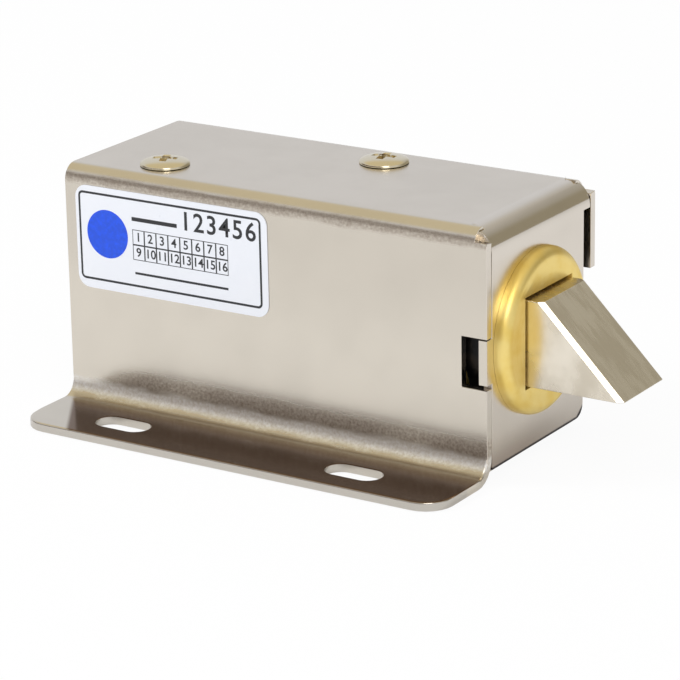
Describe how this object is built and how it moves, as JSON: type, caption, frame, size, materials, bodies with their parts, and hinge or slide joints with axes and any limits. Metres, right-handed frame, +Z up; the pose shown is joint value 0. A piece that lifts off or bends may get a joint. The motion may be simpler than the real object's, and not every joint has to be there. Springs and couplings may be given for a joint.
{
  "type": "solenoid lock",
  "caption": "Cabinet lock with a folded steel case and slotted flange, whose solenoid draws a slanted latch bolt back through a brass bush against a spring.",
  "frame": {"origin": "on the mounting face under the flange, midway between the two slots", "axes": "+X out of the bolt end along the bolt's travel, +Y from the flange to the rear lip, +Z up from the mounting face"},
  "size_m": [0.0904, 0.0467, 0.0381],
  "materials": {
    "nickel_plate": "nickel plated, satin",
    "bright_steel": "ground and plated",
    "dark_steel": "black oxide",
    "brass": "turned, bright",
    "copper_wire": "enamelled copper",
    "black_plastic": "moulded",
    "yellow_tape": "film tape",
    "rubber": "matt",
    "label_white": "printed film sticker"
  },
  "bodies": {
    "lock_case": {"case_shell": "nickel_plate", "rear_cover": "nickel_plate", "label": "label_white", "top_screw_left": "nickel_plate", "top_screw_right": "nickel_plate", "cover_screw_left": "nickel_plate", "cover_screw_right": "nickel_plate", "solenoid_yoke": "bright_steel", "fixed_core": "bright_steel", "coil_bobbin": "black_plastic", "coil_winding": "copper_wire", "coil_tape": "yellow_tape", "return_spring": "bright_steel", "bolt_bush": "brass", "bush_washer": "dark_steel", "bush_nut": "dark_steel", "cable_grommet": "rubber"},
    "bolt": {"latch_bolt": "bright_steel", "plunger": "bright_steel", "bolt_pin": "dark_steel"}
  },
  "joints": [
    {"name": "bolt_slide", "type": "slide", "parent": "lock_case", "child": "bolt", "axis": [1, 0, 0], "range_m": [-0.0125, 0], "stiffness_N_per_m": 250, "springref_m": 0.01, "deforming": ["return_spring"]}
  ]
}
